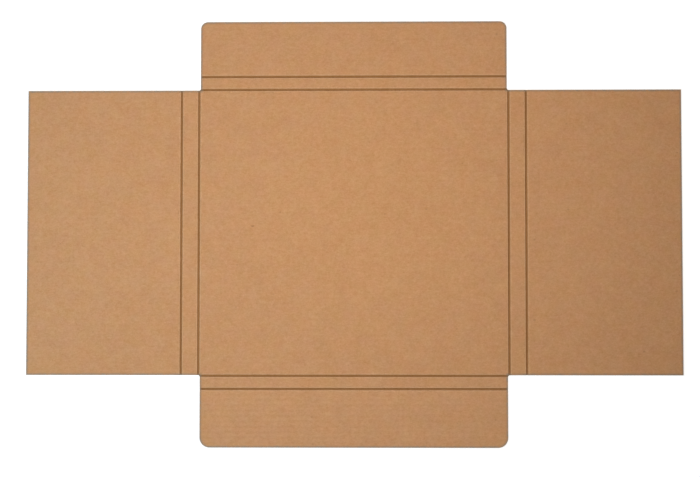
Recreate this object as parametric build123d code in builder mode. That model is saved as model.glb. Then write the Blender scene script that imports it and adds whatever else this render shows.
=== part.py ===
from build123d import *
import math
import os

os.makedirs("parts", exist_ok=True)

# One die-cut sheet of corrugated board, lying open with the inside of the box facing up.
# Z = 0 is the face it rests on. X = Y = 0 is the middle of the centre panel. The flutes run along X.

# Panels, measured between the centre lines of the creases
panel_x = 355.0  # centre panel, left crease to right crease
panel_y = 328.0  # centre panel, bottom crease to top crease
side_wall = 20.0  # strip between the two creases of each side arm
end_wall = 15.0  # strip between the two creases of the top and the bottom arm
meeting_gap = 0.5  # gap where the closed side flaps meet over the middle of the panel
top_flap = 63.5  # top flap, outer crease to edge
bottom_flap = 66.5  # bottom flap, outer crease to edge

# Clearances that let the arms fold past each other
side_step = 0.8  # side arms stand this far inside the ends of the centre panel
end_step = 1.8  # top and bottom arms stand this far inside its sides

# Cut corners
top_corner = 8.0  # outer corners of the top flap
bottom_corner = 11.5  # outer corners of the bottom flap
inner_corner = 2.5  # where two arms meet

# Corrugated section: two flat liners and a wavy medium between them
board = 3.0
liner = 0.3
medium = 0.25
flute_pitch = 6.1
flank_angle = 52.0  # steepest slope of the medium
crest_flat = 0.7  # middle flat of the crest, which is made of three flats
crest_drop = 0.35  # height of the two sloping flats of the crest

# Creases, pressed into the upper face
crease_width = 2.3
crease_depth = 1.0
crushed = 3.2  # the flutes are pressed solid this far each side of a crease
crease_dip = 0.25  # how far the face sinks towards the groove over that distance
closed_rim = 0.8  # an edge cut along the flutes is pinched shut over this width
overcut = 1.0  # how far a cutting shape reaches past the board

# Sizes that follow from those above
side_flap = (panel_x - meeting_gap) / 2
side_crease = panel_x / 2
side_outer_crease = side_crease + side_wall
side_edge = side_outer_crease + side_flap
end_crease = panel_y / 2
end_outer_crease = end_crease + end_wall
top_edge = end_outer_crease + top_flap
bottom_edge = -end_outer_crease - bottom_flap
side_arm_half = end_crease - side_step
end_arm_half = side_crease - end_step

core = board - 2 * liner
channel_height = core - medium
flank = math.radians(flank_angle)
channel_foot = (flute_pitch / 2 + core / math.tan(flank) - medium / math.sin(flank)) / 2
shoulder_z = channel_height - crest_drop
shoulder_y = channel_foot - shoulder_z / math.tan(flank)

# Half of one open channel, seen along the flutes, from its foot on the liner to its crest
half_channel = [
    (channel_foot, 0),
    (shoulder_y, shoulder_z),
    (crest_flat / 2, channel_height),
]
channel = half_channel + [(-y, z) for y, z in reversed(half_channel)]


def channel_rows(y_low, y_high):
    """Middles of the channels that fit whole between y_low and y_high.

    Those below the medium lie on whole pitches from the sheet's middle, and those above
    it halfway between them, so the wave runs on unbroken from arm to arm.
    """
    first = math.ceil((y_low + channel_foot) / flute_pitch * 2)
    last = math.floor((y_high - channel_foot) / flute_pitch * 2)
    middles = [(n % 2, n * flute_pitch / 2) for n in range(first, last + 1)]
    below = [y for odd, y in middles if not odd]
    above = [y for odd, y in middles if odd]
    return below, above


# Where the flutes are open to a cut edge: (start x, end x, low y, high y)
rim_y = side_arm_half - closed_rim
open_end = end_arm_half + overcut
fluted = [
    (-side_edge - overcut, -side_outer_crease - crushed, -rim_y, rim_y),
    (side_outer_crease + crushed, side_edge + overcut, -rim_y, rim_y),
    (-open_end, open_end, end_crease + crushed, end_outer_crease - crushed),
    (-open_end, open_end, end_outer_crease + crushed, top_edge - closed_rim),
    (-open_end, open_end, crushed - end_outer_crease, -end_crease - crushed),
    (-open_end, open_end, bottom_edge + closed_rim, -end_outer_crease - crushed),
]

# What one crease takes away, seen along it, with the sheet's upper face at 0: a round groove
# with the face sloping gently down to it on both sides
with BuildSketch() as crease_section:
    with BuildLine():
        ThreePointArc(
            (-crease_width / 2, -crease_dip),
            (0, -crease_depth),
            (crease_width / 2, -crease_dip),
        )
        Polyline(
            (crease_width / 2, -crease_dip),
            (crushed, 0),
            (crushed, overcut),
            (-crushed, overcut),
            (-crushed, 0),
            (-crease_width / 2, -crease_dip),
        )
    make_face()

with BuildPart() as box_blank:
    # The cut outline: a centre panel with an arm on each side
    with BuildSketch() as outline:
        Rectangle(2 * side_edge, 2 * side_arm_half)
        Rectangle(panel_x - 2 * end_step, panel_y)
        with Locations((0, (top_edge + bottom_edge) / 2)):
            Rectangle(2 * end_arm_half, top_edge - bottom_edge)
        fillet(outline.vertices().group_by(Axis.Y)[-1], top_corner)
        fillet(outline.vertices().group_by(Axis.Y)[0], bottom_corner)
        fillet(
            outline.vertices().filter_by(
                lambda v: abs(abs(v.X) - end_arm_half) < 0.01
                and abs(abs(v.Y) - side_arm_half) < 0.01
            ),
            inner_corner,
        )
    extrude(amount=board)

    # The channels between the medium and the liners, row by row along X
    for x_start, x_end, y_low, y_high in fluted:
        below, above = channel_rows(y_low, y_high)
        across = Plane(origin=(x_start, 0, 0), x_dir=(0, 1, 0), z_dir=(1, 0, 0))
        with BuildSketch(across):
            with Locations([(y, liner) for y in below]):
                Polygon(*channel, align=None)
            with Locations([(y, board - liner) for y in above]):
                Polygon(*channel, rotation=180, align=None)
        extrude(amount=x_end - x_start, mode=Mode.SUBTRACT)

    # Creases, run out through the inner corners: first those along X, then those along Y
    run_out = inner_corner / 2
    for across, middles, half_length in (
        (Plane.YZ, (end_crease, end_outer_crease), end_arm_half + run_out),
        (Plane.XZ, (side_crease, side_outer_crease), side_arm_half + run_out),
    ):
        with BuildSketch(across):
            with Locations([(side * m, board) for m in middles for side in (-1, 1)]):
                add(crease_section.sketch)
        extrude(amount=half_length, both=True, mode=Mode.SUBTRACT)

box_blank.part.label = "box_blank"
export_step(box_blank.part, "parts/box_blank.step")
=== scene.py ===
"""The visual model of a flattened corrugated box, lying open on a pale floor.

All sizes are in metres, in the part's own frame: Z = 0 is the face the sheet rests on, X = Y = 0
is the middle of the centre panel, the flutes run along X and the inside of the box faces up. The
board's layout and its material are in millimetres.
"""

import math
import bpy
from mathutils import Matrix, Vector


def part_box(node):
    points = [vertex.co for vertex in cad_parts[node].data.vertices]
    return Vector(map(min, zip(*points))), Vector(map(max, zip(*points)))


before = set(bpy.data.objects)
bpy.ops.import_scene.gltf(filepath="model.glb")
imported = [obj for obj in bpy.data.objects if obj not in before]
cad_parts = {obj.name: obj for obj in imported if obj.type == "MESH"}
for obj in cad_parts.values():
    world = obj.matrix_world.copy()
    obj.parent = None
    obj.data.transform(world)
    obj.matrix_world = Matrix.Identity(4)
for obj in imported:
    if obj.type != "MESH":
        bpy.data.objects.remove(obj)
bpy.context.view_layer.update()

from types import SimpleNamespace

import bpy
from mathutils import Euler, Vector

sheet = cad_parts["box_blank"]

# The sheet's layout
PANEL_X, PANEL_Y = 355.0, 328.0
SIDE_WALL, END_WALL = 20.0, 15.0
SIDE_STEP, END_STEP = 0.8, 1.8
TOP_CORNER, BOTTOM_CORNER = 8.0, 11.5
LINER = 0.3
SKIN = 1.1  # the liners' outer faces lie within this depth, down to the bottoms of the creases
FLUTE_PITCH = 6.1
SIDE_CREASE = PANEL_X / 2
END_CREASE = PANEL_Y / 2
BOTTOM_FOLD = -END_CREASE - END_WALL
SIDE_ARM_HALF = END_CREASE - SIDE_STEP
END_ARM_HALF = SIDE_CREASE - END_STEP
LOW, HIGH = (tuple(1000 * v for v in corner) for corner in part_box("box_blank"))
HALF_BOARD = HIGH[2] / 2

# The one clear fleck: where it lies, and half its length along X and Y
FLECK_X, FLECK_Y = -115.8, 7.0
FLECK_HALF_X, FLECK_HALF_Y = 1.8, 1.2

HAIR_TURNS = (8, 64, 131)  # the ways that long fibres lie, in degrees from X

# Colours as they look on screen, 0 to 255
ROSY_PAPER = (195, 140, 99)
SANDY_PAPER = (191, 145, 99)
WARM_PAPER = (195, 143, 95)
PALE_PAPER = (191, 142, 104)
# Painted highlight on the crease shoulders
CREASE_SHOULDER_HIGHLIGHT = (211, 181, 148)
# The crease bottom: the crushed liner's own colour, darkened further by painted shade
CREASE_BOTTOM_AND_SHADE = (142, 97, 51)
CREASE_BELOW = (147, 107, 71)
FLECK = (104, 72, 44)
# Painted shade along the cut outline, greyer and darker
PAINTED_EDGE_SHADE = (126, 122, 110)
CUT_PAPER = (178, 143, 105)
# Painted shade in the gaps between the liners on the cut edges
PAINTED_GAP_SHADE = (98, 68, 44)
FLUTE_INSIDE = (147, 115, 85)

# The floor is just under the sheet, and its middle is on the side that the key lamp aims at
FLOOR_HALF = 6.0
FLOOR_PLACE = (-0.05, 0.05, -0.00005)
FLOOR_COLOUR = (0.7, 0.7, 0.7, 1.0)
# Its own white glow, near the sheet and further out, where the lamps are weaker
NEAR, NEAR_GLOW = 0.42, 0.59
FAR, FAR_GLOW = 1.18, 0.88

CAMERA_LENS = 85.0
CAMERA_PLACE = (0.03205, -0.09515, 1.89157)
CAMERA_TURN = (2.6639, 1.0961, 0.002)  # degrees


def linear(r, g, b):
    """A colour as it looks on screen, 0 to 255, in the numbers that shaders use."""
    return tuple(
        v / 255 / 12.92 if v / 255 <= 0.04045 else ((v / 255 + 0.055) / 1.055) ** 2.4
        for v in (r, g, b)
    )


class Nodes:
    """Writes a node tree as short expressions. A value is a number or an output socket."""

    def __init__(self, tree):
        self.tree = tree
        self.tree.nodes.clear()
        self.count = 0

    def new(self, kind, **settings):
        node = self.tree.nodes.new(kind)
        node.location = (180 * (self.count % 24), -220 * (self.count // 24))
        self.count += 1
        for key, value in settings.items():
            setattr(node, key, value)
        return node

    def put(self, socket, value):
        if isinstance(value, bpy.types.NodeSocket):
            self.tree.links.new(value, socket)
        else:
            socket.default_value = value

    def math(self, operation, *values):
        node = self.new("ShaderNodeMath", operation=operation)
        for socket, value in zip(node.inputs, values):
            self.put(socket, value)
        return node.outputs[0]

    def chain(self, operation, values):
        total = values[0]
        for value in values[1:]:
            total = self.math(operation, total, value)
        return total

    def add(self, *values):
        return self.chain("ADD", values)

    def mul(self, *values):
        return self.chain("MULTIPLY", values)

    def lowest(self, *values):
        return self.chain("MINIMUM", values)

    def highest(self, *values):
        return self.chain("MAXIMUM", values)

    def sub(self, a, b):
        return self.math("SUBTRACT", a, b)

    def size(self, value):
        """The value without its sign."""
        return self.math("ABSOLUTE", value)

    def away(self, value, from_value):
        """How far value is from from_value."""
        return self.size(self.sub(value, from_value))

    def length(self, x, y):
        squares = self.add(self.math("POWER", x, 2.0), self.math("POWER", y, 2.0))
        return self.math("SQRT", squares)

    def ramp(self, value, start, end, low=0.0, high=1.0, kind="SMOOTHSTEP"):
        """low at start, high at end, smooth between and level past both."""
        node = self.new("ShaderNodeMapRange", interpolation_type=kind)
        for name, v in (
            ("Value", value),
            ("From Min", start),
            ("From Max", end),
            ("To Min", low),
            ("To Max", high),
        ):
            self.put(node.inputs[name], v)
        return node.outputs["Result"]

    def vector(self, x, y, z):
        node = self.new("ShaderNodeCombineXYZ")
        for socket, value in zip(node.inputs, (x, y, z)):
            self.put(socket, value)
        return node.outputs[0]

    def split(self, vector):
        node = self.new("ShaderNodeSeparateXYZ")
        self.put(node.inputs[0], vector)
        return node.outputs

    def noise(self, place, scale, detail=3.0, roughness=0.55, distortion=0.0):
        """Noise about 0, mostly within 0.5 either way."""
        node = self.new("ShaderNodeTexNoise", noise_dimensions="3D")
        self.put(node.inputs["Vector"], place)
        for name, value in (
            ("Scale", scale),
            ("Detail", detail),
            ("Roughness", roughness),
            ("Distortion", distortion),
        ):
            self.put(node.inputs[name], value)
        return self.sub(node.outputs[0], 0.5)

    def hairs(self, x, y, z, turn):
        """1 on thin fibres a few millimetres long that lie at about turn degrees to X."""
        c, s = math.cos(math.radians(turn)), math.sin(math.radians(turn))
        along = self.add(self.mul(x, c * 0.45), self.mul(y, s * 0.45))
        across = self.add(self.mul(x, -s * 5), self.mul(y, c * 5))
        cells = self.noise(self.vector(along, across, self.add(z, turn)), 1.0, 0.0, 0.5, 0.4)
        return self.ramp(cells, 0.12, 0.22)

    def mix(self, amount, a, b):
        """a where amount is 0, b where it is 1. Each is a socket or a colour as on screen."""
        node = self.new("ShaderNodeMix", data_type="RGBA")
        self.put(node.inputs[0], amount)
        for socket, value in ((node.inputs[6], a), (node.inputs[7], b)):
            if isinstance(value, tuple):
                value = (*linear(*value), 1.0)
            self.put(socket, value)
        return node.outputs[2]

    def seen(self):
        """1 for the camera's own rays and for those it gets by way of gloss or glass."""
        path = self.new("ShaderNodeLightPath")
        kinds = ("Is Camera Ray", "Is Glossy Ray", "Is Transmission Ray")
        return self.highest(*(path.outputs[kind] for kind in kinds))


def find_place(n):
    """Where a point of the board lies, in millimetres, and which kind of surface it is on."""
    scaled = n.new("ShaderNodeVectorMath", operation="SCALE")
    n.put(scaled.inputs[0], n.new("ShaderNodeTexCoord").outputs["Object"])
    n.put(scaled.inputs["Scale"], 1000.0)
    mm = scaled.outputs[0]
    x, y, z = n.split(mm)
    facing = n.split(n.new("ShaderNodeNewGeometry").outputs["True Normal"])
    # How far up or down from the middle of the board, here and where the outer layers begin
    off = n.away(z, HALF_BOARD)
    skin, liner = HALF_BOARD - SKIN, HALF_BOARD - LINER
    level = n.ramp(n.size(facing[2]), 0.55, 0.8)
    return SimpleNamespace(
        mm=mm,
        x=x,
        y=y,
        z=z,
        level=level,
        skin=n.mul(level, n.ramp(off, skin - 0.05, skin)),
        on_liner=n.ramp(off, liner - 0.02, liner + 0.02),
        upper=n.ramp(z, HALF_BOARD, HALF_BOARD + 0.1),
        faces_y=n.ramp(n.size(facing[1]), 0.6, 0.9),
    )


def from_cut_outline(n, x, y):
    """How far in from the cut outline. The sheet is one rectangle across, with square corners,
    and one up and down, with rounded corners.
    """
    across = n.lowest(n.sub(HIGH[0], n.size(x)), n.sub(SIDE_ARM_HALF, n.size(y)))
    at_top = n.math("GREATER_THAN", y, 0.0)
    radius = n.add(BOTTOM_CORNER, n.mul(at_top, TOP_CORNER - BOTTOM_CORNER))
    middle_y, half_y = (HIGH[1] + LOW[1]) / 2, (HIGH[1] - LOW[1]) / 2
    short_x = n.sub(radius, n.sub(END_ARM_HALF, n.size(x)))
    short_y = n.sub(radius, n.sub(half_y, n.away(y, middle_y)))
    in_corner = n.sub(radius, n.length(n.highest(short_x, 0.0), n.highest(short_y, 0.0)))
    upright = n.sub(in_corner, n.lowest(n.highest(short_x, short_y), 0.0))
    return n.highest(across, upright)


def from_crease_line(n, x, y):
    """How far from the nearest crease. A crease ends where its arm does."""

    def from_pair(across, along, inner, wall, half_length):
        nearest = n.lowest(n.away(n.size(across), inner), n.away(n.size(across), inner + wall))
        past_end = n.ramp(n.size(along), half_length + 1, half_length + 1.5, 0, 40)
        return n.add(nearest, past_end)

    return n.lowest(
        from_pair(x, y, SIDE_CREASE, SIDE_WALL, SIDE_ARM_HALF),
        from_pair(y, x, END_CREASE, END_WALL, END_ARM_HALF),
    )


def flute_ridges(n, at, from_crease):
    """The flutes, which show through the liners as faint ridges. They stand out most on the
    bottom flap, and there more to the left.
    """
    x, y, z = at.x, at.y, at.z
    drift = n.noise(n.vector(n.mul(x, 0.006), n.mul(y, 0.02), z), 1.0, 2.0)
    wave = n.math("COSINE", n.mul(n.add(y, n.mul(drift, 0.8)), 2 * math.pi / FLUTE_PITCH))
    uneven = n.add(0.8, n.mul(n.noise(at.mm, 0.02, 2.0), 1.2))
    strength = n.mul(n.ramp(from_crease, 3.0, 7.0), uneven, at.skin)
    up_or_down = n.sub(n.mul(at.upper, 2.0), 1.0)
    on_bottom_flap = n.ramp(y, BOTTOM_FOLD + 1, BOTTOM_FOLD - 5)
    stands_out = n.add(1.0, n.mul(on_bottom_flap, n.ramp(x, -170, 170, 2.6, 0.5)))
    return n.mul(wave, strength, up_or_down, stands_out)


def paper_patterns(n, at):
    """The paper's unevenness, from clouds the size of a hand down to its grain."""
    x, y, z = at.x, at.y, at.z
    along = n.vector(n.mul(x, 0.22), y, z)
    upright = n.vector(n.mul(x, 1.3), n.mul(y, 0.45), z)
    return SimpleNamespace(
        waver=n.noise(at.mm, 0.35, 2.0),
        cloud=n.noise(at.mm, 0.011, 3.0),
        blotch=n.noise(at.mm, 0.045, 3.0),
        mottle=n.noise(at.mm, 0.2, 4.0, 0.65),
        floc=n.noise(n.vector(n.mul(x, 0.7), y, n.add(z, 300)), 0.55, 3.0, 0.6, 0.4),
        fibre=n.noise(along, 1.1, 3.0, 0.65, 0.6),
        upright_fibre=n.noise(upright, 0.9, 3.0, 0.65, 0.8),
        grain=n.noise(at.mm, 2.6, 2.0, 0.6),
        hairs=n.mul(n.highest(*(n.hairs(x, y, z, turn) for turn in HAIR_TURNS)), at.skin),
    )


def paper_colour(n, at):
    """Four near browns in two patterns of their own, warmer in the middle of the panel."""
    x, y, z = at.x, at.y, at.z
    blotch = n.noise(n.vector(n.add(y, 900), x, z), 0.06, 2.0)
    tone = n.noise(n.vector(n.add(x, 400), y, z), 0.05, 3.0)
    off_middle = n.length(n.away(x, 20), n.away(y, 20))
    tone = n.sub(tone, n.mul(n.ramp(off_middle, 180, 40), 0.2))
    return n.mix(
        0.5,
        n.mix(n.ramp(blotch, -0.25, 0.25), ROSY_PAPER, SANDY_PAPER),
        n.mix(n.ramp(tone, -0.25, 0.25), WARM_PAPER, PALE_PAPER),
    )


def flecks(n, at, floc):
    """How strongly a fleck darkens the paper: a few faint ones, and the one clear one."""
    cells = n.new("ShaderNodeTexVoronoi", feature="F1", voronoi_dimensions="2D")
    n.put(cells.inputs["Vector"], n.vector(n.mul(at.x, 0.8), at.y, 0.0))
    n.put(cells.inputs["Scale"], 0.03)
    n.put(cells.inputs["Randomness"], 1.0)
    chance = n.new("ShaderNodeSeparateColor")
    n.put(chance.inputs[0], cells.outputs["Color"])
    reach = n.add(0.01, n.mul(chance.outputs[1], 0.025))
    within = n.math("LESS_THAN", cells.outputs["Distance"], reach)
    faint = n.mul(within, n.ramp(chance.outputs[0], 0.6, 0.95), 0.22)

    off_x = n.mul(n.away(at.x, FLECK_X), 1 / FLECK_HALF_X)
    off_y = n.mul(n.away(at.y, FLECK_Y), 1 / FLECK_HALF_Y)
    off = n.add(n.length(off_x, off_y), n.mul(floc, 0.8))
    clear = n.mul(n.ramp(off, 1.1, 0.5), at.upper)
    return n.highest(faint, n.mul(clear, 0.42))


def shaded(n, colour, shade):
    """The colour made lighter or darker: half of it keeps the hue, and half is plain grey."""
    half_shade = n.mul(shade, 0.5)
    tinted = n.new("ShaderNodeVectorMath", operation="SCALE")
    n.put(tinted.inputs[0], colour)
    n.put(tinted.inputs["Scale"], n.add(1.0, half_shade))
    brightness = n.new("ShaderNodeRGBToBW")
    n.put(brightness.inputs[0], colour)
    grey = n.mul(half_shade, brightness.outputs[0])
    both = n.new("ShaderNodeVectorMath", operation="ADD")
    n.put(both.inputs[0], tinted.outputs[0])
    n.put(both.inputs[1], n.vector(grey, grey, grey))
    return both.outputs[0]


def kraft_material():
    material = bpy.data.materials.new("kraft_board")
    material.use_nodes = True
    n = Nodes(material.node_tree)
    at = find_place(n)
    paper = paper_patterns(n, at)
    inwards = from_cut_outline(n, at.x, at.y)
    from_crease = n.add(from_crease_line(n, at.x, at.y), n.mul(paper.waver, 0.3))
    ridges = flute_ridges(n, at, from_crease)

    # Creases: a darker bottom, partly the crushed liner's own colour and partly painted shade,
    # with painted highlight on the shoulders beside it, and a faint mark on the underside
    crease_line = n.ramp(from_crease, 1.5, 1.1)
    crease = n.mul(crease_line, at.upper)
    under_crease = n.mul(crease_line, at.level, n.ramp(at.z, 0.2, 0.1))
    beside = n.mul(n.ramp(from_crease, 1.2, 1.5), n.ramp(from_crease, 3.2, 1.9))
    shoulder_highlight = n.mul(beside, at.upper, at.skin)

    # A greyer, darker band along the cut outline: painted shade at the edge, patchy rather than
    # even
    ragged = n.add(inwards, n.mul(paper.waver, 1.6), n.mul(paper.floc, 1.2))
    patchy_strength = n.add(0.56, n.mul(n.add(paper.mottle, paper.floc), 1.3))
    painted_edge_shade = n.mul(n.ramp(ragged, 3.2, 0.6), at.skin, patchy_strength)

    # Cut edges: two liners, and where the cut follows the flutes, wavy gaps in the crushed
    # medium between them, darkened with painted shade
    cut = n.mul(n.sub(1.0, at.level), n.ramp(inwards, 0.3, 0.1))
    between_liners = n.sub(1.0, at.on_liner)
    folds = n.noise(n.vector(n.mul(at.x, 0.16), at.y, n.mul(at.z, 1.1)), 1.0, 3.0, 0.6, 1.2)
    shaded_gaps = n.mul(cut, at.faces_y, between_liners, n.ramp(folds, -0.02, 0.12))
    fuzz = n.vector(n.mul(at.x, 2.2), n.mul(at.y, 2.2), n.mul(at.z, 5))
    torn = n.mul(cut, n.noise(fuzz, 1.0, 3.0, 0.7))
    inside = n.mul(between_liners, n.sub(1.0, at.skin))

    colour = paper_colour(n, at)
    for amount, layer in (
        (n.mul(shoulder_highlight, 0.16), CREASE_SHOULDER_HIGHLIGHT),
        (n.mul(crease, 0.92), CREASE_BOTTOM_AND_SHADE),
        (n.mul(under_crease, 0.25), CREASE_BELOW),
        (flecks(n, at, paper.floc), FLECK),
        (painted_edge_shade, PAINTED_EDGE_SHADE),
        (n.mul(cut, 0.5), CUT_PAPER),
        (n.mul(shaded_gaps, 0.55), PAINTED_GAP_SHADE),
        (n.mul(inside, 0.5), FLUTE_INSIDE),
    ):
        colour = n.mix(amount, colour, layer)

    # How much lighter or darker than the plain board: the paper's own uneven tone, with painted
    # shade along the flute ridges and painted light that makes the bottom flap a little lighter.
    shade = n.add(
        n.mul(paper.cloud, 0.06),
        n.mul(paper.blotch, 0.11),
        n.mul(paper.mottle, 0.21),
        n.mul(paper.floc, 0.30),
        n.mul(paper.fibre, 0.26),
        n.mul(paper.upright_fibre, 0.25),
        n.mul(paper.grain, 0.27),
        n.mul(paper.hairs, n.add(paper.grain, n.mul(paper.mottle, 2.0)), 0.18),
        # Painted shade and light along the flute ridges
        n.mul(ridges, 0.006),
        # Painted light: the bottom flap a little lighter where it catches more light
        n.mul(n.ramp(at.y, -150, -190), 0.035),
    )
    height = n.add(
        n.mul(ridges, 0.03),
        n.mul(paper.mottle, 0.02),
        n.mul(paper.fibre, 0.035),
        n.mul(paper.upright_fibre, 0.02),
        n.mul(paper.grain, 0.03),
        n.mul(paper.hairs, 0.012),
        n.mul(shaded_gaps, -0.3),
        n.mul(torn, 0.12),
        n.mul(under_crease, 0.12),
    )
    bump = n.new("ShaderNodeBump")
    n.put(bump.inputs["Strength"], 1.0)
    n.put(bump.inputs["Distance"], 0.001)
    n.put(bump.inputs["Height"], height)

    shader = n.new("ShaderNodeBsdfPrincipled")
    n.put(shader.inputs["Base Color"], shaded(n, colour, shade))
    roughness = n.add(0.86, n.mul(paper.mottle, 0.12), n.mul(crease, -0.1))
    n.put(shader.inputs["Roughness"], roughness)
    n.put(shader.inputs["Specular IOR Level"], 0.25)
    n.put(shader.inputs["Normal"], bump.outputs[0])
    n.put(n.new("ShaderNodeOutputMaterial").inputs["Surface"], shader.outputs[0])
    return material


def floor_material():
    """Pale, with the shadow of what lies on it, and white where no shadow falls."""
    material = bpy.data.materials.new("pale_floor")
    material.use_nodes = True
    n = Nodes(material.node_tree)
    diffuse = n.new("ShaderNodeBsdfDiffuse")
    n.put(diffuse.inputs["Color"], FLOOR_COLOUR)
    outward = n.new("ShaderNodeVectorMath", operation="LENGTH")
    n.put(outward.inputs[0], n.new("ShaderNodeTexCoord").outputs["Object"])
    light = n.ramp(outward.outputs["Value"], NEAR, FAR, NEAR_GLOW, FAR_GLOW, kind="LINEAR")
    glow = n.new("ShaderNodeEmission")
    n.put(glow.inputs["Strength"], n.mul(n.seen(), light))
    both = n.new("ShaderNodeAddShader")
    n.put(both.inputs[0], diffuse.outputs[0])
    n.put(both.inputs[1], glow.outputs[0])
    n.put(n.new("ShaderNodeOutputMaterial").inputs["Surface"], both.outputs[0])
    return material


def lay_floor():
    sides = ((-1, -1), (1, -1), (1, 1), (-1, 1))
    mesh = bpy.data.meshes.new("floor")
    mesh.from_pydata([(x * FLOOR_HALF, y * FLOOR_HALF, 0) for x, y in sides], [], [(0, 1, 2, 3)])
    mesh.materials.append(floor_material())
    floor = bpy.data.objects.new("floor", mesh)
    floor.location = FLOOR_PLACE
    bpy.context.scene.collection.objects.link(floor)


def world_light(strength):
    """Even light from all round, from a world that is white to look at."""
    world = bpy.data.worlds.new("studio")
    world.use_nodes = True
    n = Nodes(world.node_tree)
    sky = n.new("ShaderNodeBackground")
    n.put(sky.inputs["Strength"], n.add(strength, n.mul(n.seen(), 1.0 - strength)))
    n.put(n.new("ShaderNodeOutputWorld").inputs["Surface"], sky.outputs[0])
    bpy.context.scene.world = world


def area_light(name, place, target, size, watts, colour):
    data = bpy.data.lights.new(name, "AREA")
    data.shape = "DISK"
    data.size = size
    data.energy = watts
    data.color = colour
    lamp = bpy.data.objects.new(name, data)
    lamp.location = place
    lamp.rotation_euler = (Vector(target) - Vector(place)).to_track_quat("-Z", "Y").to_euler()
    lamp.visible_camera = False
    bpy.context.scene.collection.objects.link(lamp)


def place_camera():
    data = bpy.data.cameras.new("camera")
    data.sensor_width = 36.0
    data.lens = CAMERA_LENS
    data.clip_end = 50.0
    camera = bpy.data.objects.new("camera", data)
    camera.location = CAMERA_PLACE
    camera.rotation_euler = Euler([math.radians(a) for a in CAMERA_TURN], "XYZ")
    bpy.context.scene.collection.objects.link(camera)
    bpy.context.scene.camera = camera


kraft = kraft_material()
for slot in sheet.material_slots:
    slot.material = kraft

lay_floor()
world_light(0.2)
# A soft lamp overhead that lights the upper left most, and a weaker, cooler one at the left
area_light(
    "key",
    place=(0.03, 0.0, 0.9),
    target=(-0.35, 0.35, 0),
    size=0.5,
    watts=7.14,
    colour=(1.0, 0.925, 0.847),
)
area_light(
    "side",
    place=(-0.95, -0.24, 0.7),
    target=(-0.2, 0, 0),
    size=0.4,
    watts=5.18,
    colour=(0.5, 0.77, 0.985),
)
place_camera()
bpy.context.scene.view_settings.view_transform = "Standard"
